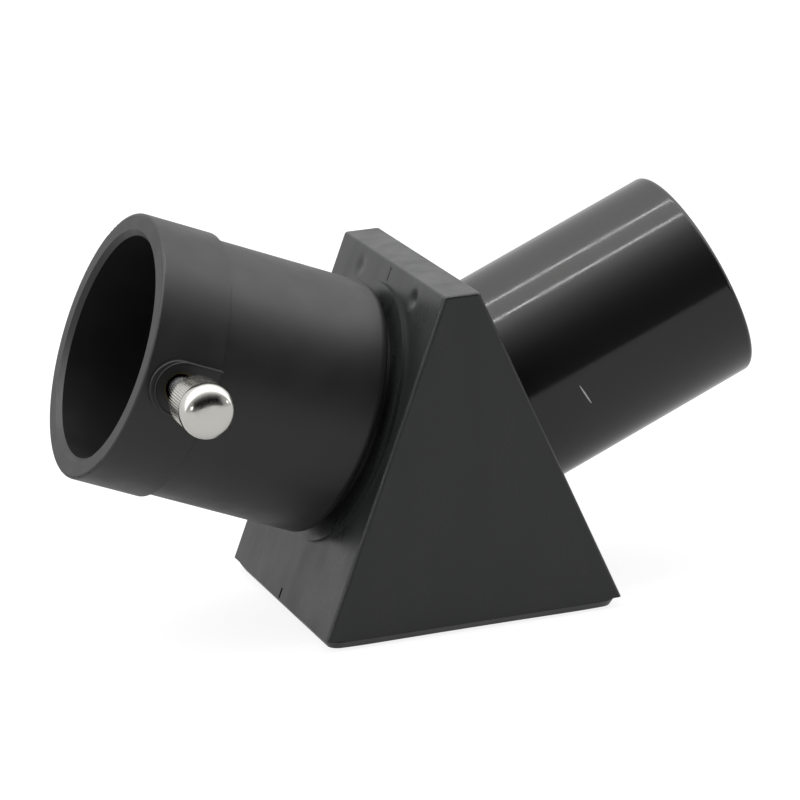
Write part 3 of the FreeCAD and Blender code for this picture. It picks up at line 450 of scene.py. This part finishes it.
def make_ring_tree():
    """Copies of a tooth around Z, evenly turned."""
    tree, source, sink = new_tree("ring_of_teeth", [
        ("Count", "NodeSocketInt"), ("Radius", "NodeSocketFloat"), ("Finish", "NodeSocketMaterial")])
    new, link = tree.nodes.new, tree.links.new
    circle = new("GeometryNodeMeshCircle")
    link(source.outputs["Count"], circle.inputs["Vertices"])
    link(source.outputs["Radius"], circle.inputs["Radius"])
    index = new("GeometryNodeInputIndex")
    share = new("ShaderNodeMath")
    share.operation = "DIVIDE"
    link(index.outputs[0], share.inputs[0])
    link(source.outputs["Count"], share.inputs[1])
    angle = new("ShaderNodeMath")
    angle.operation = "MULTIPLY"
    link(share.outputs[0], angle.inputs[0])
    angle.inputs[1].default_value = 2 * math.pi
    turn = new("ShaderNodeCombineXYZ")
    link(angle.outputs[0], turn.inputs["Z"])
    copies = new("GeometryNodeInstanceOnPoints")
    link(circle.outputs["Mesh"], copies.inputs["Points"])
    link(source.outputs["Geometry"], copies.inputs["Instance"])
    link(turn.outputs[0], copies.inputs["Rotation"])
    close_tree(tree, source, sink, copies.outputs["Instances"])
    return tree


def make_thread_tree():
    """A thread wound about Z from its first turn up, with a diamond section that stands half out of the core."""
    tree, source, sink = new_tree("wound_thread", [
        ("Radius", "NodeSocketFloat"), ("Length", "NodeSocketFloat"), ("Pitch", "NodeSocketFloat"),
        ("Depth", "NodeSocketFloat"), ("Points Each Turn", "NodeSocketInt"), ("Finish", "NodeSocketMaterial")])
    new, link = tree.nodes.new, tree.links.new
    turns = new("ShaderNodeMath")
    turns.operation = "DIVIDE"
    link(source.outputs["Length"], turns.inputs[0])
    link(source.outputs["Pitch"], turns.inputs[1])
    spiral = new("GeometryNodeCurveSpiral")
    link(source.outputs["Points Each Turn"], spiral.inputs["Resolution"])
    link(turns.outputs[0], spiral.inputs["Rotations"])
    link(source.outputs["Radius"], spiral.inputs["Start Radius"])
    link(source.outputs["Radius"], spiral.inputs["End Radius"])
    link(source.outputs["Length"], spiral.inputs["Height"])
    upright = new("GeometryNodeSetCurveNormal")
    upright.mode = "Z_UP"
    link(spiral.outputs[0], upright.inputs["Curve"])
    profile = new("GeometryNodeCurvePrimitiveCircle")
    profile.mode = "RADIUS"
    profile.inputs["Resolution"].default_value = 4
    link(source.outputs["Depth"], profile.inputs["Radius"])
    sweep = new("GeometryNodeCurveToMesh")
    link(upright.outputs[0], sweep.inputs["Curve"])
    link(profile.outputs["Curve"], sweep.inputs["Profile Curve"])
    sweep.inputs["Fill Caps"].default_value = True
    close_tree(tree, source, sink, sweep.outputs[0])
    return tree


def make_copies_tree():
    """A copy of one modelled screw at every point."""
    tree, source, sink = new_tree("screw_copies", [
        ("Screw", "NodeSocketObject"), ("Finish", "NodeSocketMaterial")])
    new, link = tree.nodes.new, tree.links.new
    screw = new("GeometryNodeObjectInfo")
    screw.inputs["As Instance"].default_value = True
    link(source.outputs["Screw"], screw.inputs["Object"])
    copies = new("GeometryNodeInstanceOnPoints")
    link(source.outputs["Geometry"], copies.inputs["Points"])
    link(screw.outputs["Geometry"], copies.inputs["Instance"])
    close_tree(tree, source, sink, copies.outputs["Instances"])
    return tree


def wound(name, thread_tree, finish, radius, length, pitch, depth, points):
    """A thread in millimetres, drawn about its own Z."""
    return run_tree(name, bpy.data.meshes.new("thread_start"), thread_tree, {
        "Radius": radius * MM, "Length": length * MM, "Pitch": pitch * MM, "Depth": depth * MM,
        "Points Each Turn": points, "Finish": finish})


# ---------------------------------------------------------------- the housing

def on_left_wall(point):
    """Distances in millimetres of a point from the left wall's plane, along its slope from the axis, and across."""
    out = Vector((-COS, 0, SIN))
    slope = Vector((SIN, 0, COS))
    away = point / MM - spot(EYEPIECE_SIDE, HOUSE_FACE) / MM
    return away.dot(out), away.dot(slope), away.y


def true_normals(mesh, large=40.0, limit=35):
    """Flat faces keep their own normal, and the rounds between them run smoothly from one to the next."""
    keys, areas = [], {}
    for face in mesh.polygons:
        normal = face.normal
        key = (round(normal.x, 3), round(normal.y, 3), round(normal.z, 3), round(normal.dot(face.center) / MM, 1))
        keys.append(key)
        areas[key] = areas.get(key, 0.0) + face.area / MM ** 2
    flat = [areas[key] > large for key in keys]
    around = [[] for vertex in mesh.vertices]
    for face in mesh.polygons:
        for vertex in face.vertices:
            around[vertex].append(face.index)
    least = math.cos(math.radians(limit))
    normals = []
    for face in mesh.polygons:
        for vertex in face.vertices:
            if flat[face.index]:
                normals.append(face.normal.copy())
                continue
            near = [other for other in around[vertex] if mesh.polygons[other].normal.dot(face.normal) > least]
            planes = [other for other in near if flat[other]]
            if planes:
                best = max(planes, key=lambda other: mesh.polygons[other].normal.dot(face.normal))
                normals.append(mesh.polygons[best].normal.copy())
                continue
            mean = Vector()
            for other in near:
                mean += mesh.polygons[other].normal * mesh.polygons[other].area
            normals.append(mean.normalized() if mean.length > 0 else face.normal.copy())
    mesh.polygons.foreach_set("use_smooth", [True] * len(mesh.polygons))
    mesh.normals_split_custom_set(normals)


def even(low, high, count):
    return [low + (high - low) * step / (count - 1) for step in range(count)]


def unique(parts):
    """Each part once, in the order they come."""
    return list(dict.fromkeys(parts))


def sink_mark(across, slope):
    """Relief in millimetres of the two shallow marks over the corner bosses."""
    reach = math.hypot(abs(across) - SINK_ACROSS, slope - SINK_UP)
    return -SINK_DEPTH * math.exp(-(reach / SINK_REACH) ** 2)


def parting_groove(across, slope):
    """Relief in millimetres of the line where the two halves of the mould met."""
    return -GROOVE_DEPTH if abs(across) < GROOVE_HALF_WIDTH else 0.0


def make_housing_skin(finishes):
    """The housing with its two sink marks and the parting line on the socket's side."""
    made = bmesh.new()
    made.from_mesh(frame["nodes"]["prism_housing"].data)
    bmesh.ops.remove_doubles(made, verts=made.verts, dist=1e-7)
    out = Vector((-COS, 0, SIN))
    slope = Vector((SIN, 0, COS))

    def place(across, up, relief=0.0):
        return spot(EYEPIECE_SIDE, HOUSE_FACE + relief, across, up)

    def wall_faces():
        return [
            face for face in made.faces
            if face.normal.dot(out) > 0.9999 and abs(on_left_wall(face.calc_center_median())[0]) < 0.004]

    def cut(point, normal):
        faces = wall_faces()
        geometry = faces + unique(edge for face in faces for edge in face.edges) \
            + unique(vertex for face in faces for vertex in face.verts)
        bmesh.ops.bisect_plane(made, geom=geometry, plane_co=point, plane_no=normal, dist=1e-8)

    def patch(columns, rows, relief):
        """Swap a rectangle of the flat wall for a fine grid that follows the relief."""
        low, high, bottom, top = columns[0], columns[-1], rows[0], rows[-1]
        for across in (low, high):
            cut(place(across, 0), Vector((0, 1, 0)))
        for up in (bottom, top):
            cut(place(0, up), slope)
        inside = []
        for face in wall_faces():
            _, up, across = on_left_wall(face.calc_center_median())
            if low < across < high and bottom < up < top:
                inside.append(face)
        edges = unique(edge for face in inside for edge in face.edges)
        rim = [edge for edge in edges if len([face for face in edge.link_faces if face not in inside]) == 1]
        bmesh.ops.delete(made, geom=inside, context="FACES_ONLY")
        spare = [edge for edge in edges if edge.is_valid and not edge.link_faces]
        bmesh.ops.delete(made, geom=spare, context="EDGES")
        inner_columns, inner_rows = columns[1:-1], rows[1:-1]
        grid = [
            [made.verts.new(place(across, up, relief(across, up))) for up in inner_rows] for across in inner_columns]
        for column in range(len(inner_columns) - 1):
            for row in range(len(inner_rows) - 1):
                made.faces.new((
                    grid[column][row], grid[column][row + 1], grid[column + 1][row + 1], grid[column + 1][row]))
        loop = [
            edge for edge in unique(edge for column in grid for vertex in column for edge in vertex.link_edges)
            if len(edge.link_faces) == 1]
        bmesh.ops.triangle_fill(
            made, use_beauty=True, use_dissolve=False, edges=[edge for edge in rim if edge.is_valid] + loop, normal=out)

    mark_columns, mark_rows = even(8.6, 13.6, 34), even(17.55, 21.65, 28)
    for side in (-1, 1):
        patch(sorted(side * across for across in mark_columns), mark_rows, sink_mark)
    groove_columns = [-0.50, -0.42, -0.14, -0.115, -0.105, -0.05, 0.05, 0.105, 0.115, 0.14, 0.42, 0.50]
    patch(groove_columns, even(19.3, 21.7, 9), parting_groove)
    mesh = mesh_from(made, "housing_skin")
    true_normals(mesh)
    add_object("housing_skin", mesh, finishes["housing_black"], "diagonal", "housing_black", "prism_housing")


# ---------------------------------------------------------------- the thumbscrew

def make_thumbscrew(finishes, ring_tree, thread_tree):
    """The knurled, domed head and the M4 stud with its thread."""
    barrel, cap, shoulder, inner, tip = 3.49, 3.8, 5.0, 25.4, 8.1
    profile = [(0, 0), (barrel - 0.3, 0), (barrel, 0.3), (barrel, shoulder - 0.25), (cap - 0.05, shoulder - 0.2)]
    profile.append((cap, shoulder))
    dome, steps = shoulder + 0.75, 24
    for step in range(steps):
        bend = math.pi / 2 * step / steps
        profile.append((cap * math.cos(bend) ** 0.72, dome + (tip - dome) * math.sin(bend)))
    profile.append((0, tip))
    core = turned("head_core", profile, 128)
    core.transform(screw_frame(inner))
    add_object("head_core", core, finishes["head_nickel"], "screw_head", "head_nickel", "thumbscrew_head")

    tooth = bpy.data.meshes.new("tooth")
    root, crest, wide, narrow, low, top = -0.10, 0.25, 0.15, 0.035, 0.22, shoulder - 0.12
    points = [
        (root, -wide, low), (crest, -narrow, low + 0.16), (crest, narrow, low + 0.16), (root, wide, low),
        (root, -wide, top), (crest, -narrow, top - 0.2), (crest, narrow, top - 0.2), (root, wide, top)]
    tooth.from_pydata(
        [(x * MM, y * MM, z * MM) for x, y, z in points], [],
        [(0, 1, 5, 4), (1, 2, 6, 5), (2, 3, 7, 6), (3, 0, 4, 7), (3, 2, 1, 0), (4, 5, 6, 7)])
    knurl = run_tree("head_knurl", tooth, ring_tree, {
        "Count": 60, "Radius": (barrel - 0.03) * MM, "Finish": finishes["head_nickel"]})
    knurl.transform(screw_frame(inner))
    add_object("head_knurl", knurl, finishes["head_nickel"], "screw_head", "head_nickel")

    # The stud and its thread take the stud finish, whose dark colour is painted shade from under the head.
    core_radius, stud_tip, stud_length = 1.62, 16.4, 14.0
    profile = [(0, 0), (1.35, 0), (core_radius, 0.3), (core_radius, stud_length), (0, stud_length)]
    stud = turned("stud_core", profile, 64)
    stud.transform(screw_frame(stud_tip))
    add_object("stud_core", stud, finishes["stud_nickel"], "screw_stud", "stud_nickel", "thumbscrew_stud")
    thread = wound(
        "stud_thread", thread_tree, finishes["stud_nickel"], core_radius + 0.01, 12.9, SCREW_PITCH, 0.345, 40)
    thread.transform(screw_frame(stud_tip + 0.4))
    add_object("stud_thread", thread, finishes["stud_nickel"], "screw_stud", "stud_nickel")


def make_pad_edge(finishes):
    """The rounded edge of the flat that the thumbscrew sits on, open towards the housing."""
    reach, flat, length, bead, sides = 3.72, PAD_FLAT - 0.02, 4.9, 0.19, 10
    path = [(-length, reach, 0, 1), (-length * 0.5, reach, 0, 1)]
    for step in range(25):
        turn = math.radians(90 - 180 * step / 24)
        path.append((reach * math.cos(turn), reach * math.sin(turn), math.cos(turn), math.sin(turn)))
    path += [(-length * 0.5, -reach, 0, -1), (-length, -reach, 0, -1)]
    made = bmesh.new()
    rings = []
    for along, lift, out_along, out_lift in path:
        ring = []
        for side in range(sides):
            angle = 2 * math.pi * side / sides
            out, up = bead * math.cos(angle), bead * math.sin(angle)
            ring.append(made.verts.new(spot(
                EYEPIECE_SIDE, SCREW_FACE + along + out * out_along, -flat - up, lift + out * out_lift)))
        rings.append(ring)
    for first, second in zip(rings, rings[1:]):
        for side in range(sides):
            after = (side + 1) % sides
            made.faces.new((first[side], first[after], second[after], second[side]))
    made.faces.new(rings[0])
    made.faces.new(rings[-1])
    mesh = mesh_from(made, "pad_edge")
    shade(mesh, 50)
    add_object("pad_edge", mesh, finishes["holder_black"], "diagonal", "holder_black")


# ---------------------------------------------------------------- the nose barrel

def make_barrel_threads(finishes, thread_tree):
    """The filter thread at the mouth, and the fine ribs behind it that keep stray light down."""
    runs = (
        ("filter_thread", NOSE_BORE + 0.40, NOSE_END - 4.75, 4.2, 0.6, 0.30, 120),
        ("nose_ribs_front", NOSE_BORE + 0.03, 34.2, 7.0, 0.5, 0.20, 96),
        ("nose_ribs_back", NOSE_BORE + 0.03, 19.0, 12.0, 0.5, 0.20, 96))
    for name, radius, start, length, pitch, depth, points in runs:
        thread = wound(name, thread_tree, finishes["barrel_black"], radius, length, pitch, depth, points)
        thread.transform(axis_frame(NOSE_SIDE, start))
        add_object(name, thread, finishes["barrel_black"], "diagonal", "barrel_black")


def make_scuff(finishes):
    """One short pale scratch on the side of the barrel."""
    made = bmesh.new()
    radius, steps = NOSE_RADIUS + 0.012, 8
    start, drift, first_angle, sweep, half_width = 20.6, 0.57, 1.5, 12.2, 0.12
    edges = []
    for step in range(steps + 1):
        share = step / steps
        along = start + drift * share
        around = math.radians(first_angle - sweep * share)
        half = half_width * math.sin(math.pi * (0.12 + 0.76 * share))
        edges.append([
            made.verts.new(spot(
                NOSE_SIDE, along + side * half, -radius * math.cos(around), radius * math.sin(around)))
            for side in (-1, 1)])
    for first, second in zip(edges, edges[1:]):
        made.faces.new((first[0], first[1], second[1], second[0]))
    mesh = mesh_from(made, "barrel_scuff")
    if mesh.polygons[0].normal.y > 0:
        mesh.flip_normals()
    add_object("barrel_scuff", mesh, finishes["scuffed_black"], "diagonal", "barrel_black")


# ---------------------------------------------------------------- screws

def loose_boxes(node):
    """Lowest and highest corners of each separate solid in a CAD node, in metres."""
    made = bmesh.new()
    made.from_mesh(frame["nodes"][node].data)
    bmesh.ops.remove_doubles(made, verts=made.verts, dist=1e-7)
    left, boxes = set(made.verts), []
    for first in made.verts:
        if first not in left:
            continue
        left.discard(first)
        front = [first]
        points = []
        while front:
            vertex = front.pop()
            points.append(tuple(vertex.co))
            for edge in vertex.link_edges:
                other = edge.other_vert(vertex)
                if other in left:
                    left.discard(other)
                    front.append(other)
        points = np.array(points)
        boxes.append((points.min(axis=0), points.max(axis=0)))
    made.free()
    return boxes


def cross_recess(name, profile, head_height, reach, depth, steps=48):
    """A turned screw, head down, with a tapered cross cut into its head."""
    mesh = turned(name, profile, steps)
    screw = bpy.data.objects.new(name, mesh)
    bpy.context.scene.collection.objects.link(screw)
    made = bmesh.new()
    for turn in (0, math.pi / 2):
        rows = []
        for height, half, wide in ((head_height - 0.3, reach, 0.34), (head_height + depth, reach * 0.35, 0.2)):
            corners = [(-half, -wide), (half, -wide), (half, wide), (-half, wide)]
            rows.append([made.verts.new((
                (x * math.cos(turn) - y * math.sin(turn)) * MM, (x * math.sin(turn) + y * math.cos(turn)) * MM,
                height * MM)) for x, y in corners])
        made.faces.new(list(reversed(rows[0])))
        made.faces.new(rows[1])
        for corner in range(4):
            after = (corner + 1) % 4
            made.faces.new((rows[0][corner], rows[0][after], rows[1][after], rows[1][corner]))
    blade = bpy.data.meshes.new(name + "_bit")
    made.to_mesh(blade)
    made.free()
    bit = bpy.data.objects.new(name + "_bit", blade)
    bpy.context.scene.collection.objects.link(bit)
    cut = screw.modifiers.new("cut", "BOOLEAN")
    cut.operation = "DIFFERENCE"
    cut.solver = "EXACT"
    cut.use_self = True
    cut.object = bit
    bpy.context.view_layer.update()
    result = bpy.data.meshes.new_from_object(screw.evaluated_get(bpy.context.evaluated_depsgraph_get()))
    screw.modifiers.clear()
    screw.data = result
    bpy.data.objects.remove(bit)
    shade(result)
    return screw


def make_cover_screws(finishes):
    """Four countersunk screws with cross recesses in the base cover."""
    boxes = loose_boxes("base_cover_screws")
    low, high = boxes[0]
    head = (high[0] - low[0]) / 2 / MM
    base, tip = low[2] / MM, high[2] / MM
    profile = [(0, base), (head - 0.08, base), (head, base + 0.1), (1.2, base + 1.3)]
    height = base + 1.5
    while height < tip - 0.9:
        profile += [(0.98, height), (1.24, height + 0.225)]
        height += 0.45
    profile += [(0.98, height), (0.75, tip - 0.05), (0.6, tip), (0, tip)]
    screw = cross_recess("cover_screw", profile, base, 1.35, 1.0)
    points = bpy.data.meshes.new("cover_screw_places")
    points.from_pydata([((first[0] + last[0]) / 2, (first[1] + last[1]) / 2, 0) for first, last in boxes], [], [])
    tree = make_copies_tree()
    copies = run_tree("cover_screws", points, tree, {"Screw": screw, "Finish": finishes["screw_steel"]})
    bpy.data.objects.remove(screw)
    add_object("cover_screws", copies, finishes["screw_steel"], "diagonal", "screw_steel", "base_cover_screws")


def finish_nodes(finishes):
    for subpart in frame["record"]["subparts"]:
        node = frame["nodes"][subpart["node"]]
        node.data.materials.clear()
        node.data.materials.append(finishes[subpart["material_slot"]])


place_camera()
make_floor()
light_studio()
bpy.context.scene.view_settings.view_transform = "Standard"
finishes = make_finishes()
finish_nodes(finishes)
ring_tree = make_ring_tree()
thread_tree = make_thread_tree()
make_housing_skin(finishes)
make_thumbscrew(finishes, ring_tree, thread_tree)
make_pad_edge(finishes)
make_barrel_threads(finishes, thread_tree)
make_scuff(finishes)
make_cover_screws(finishes)
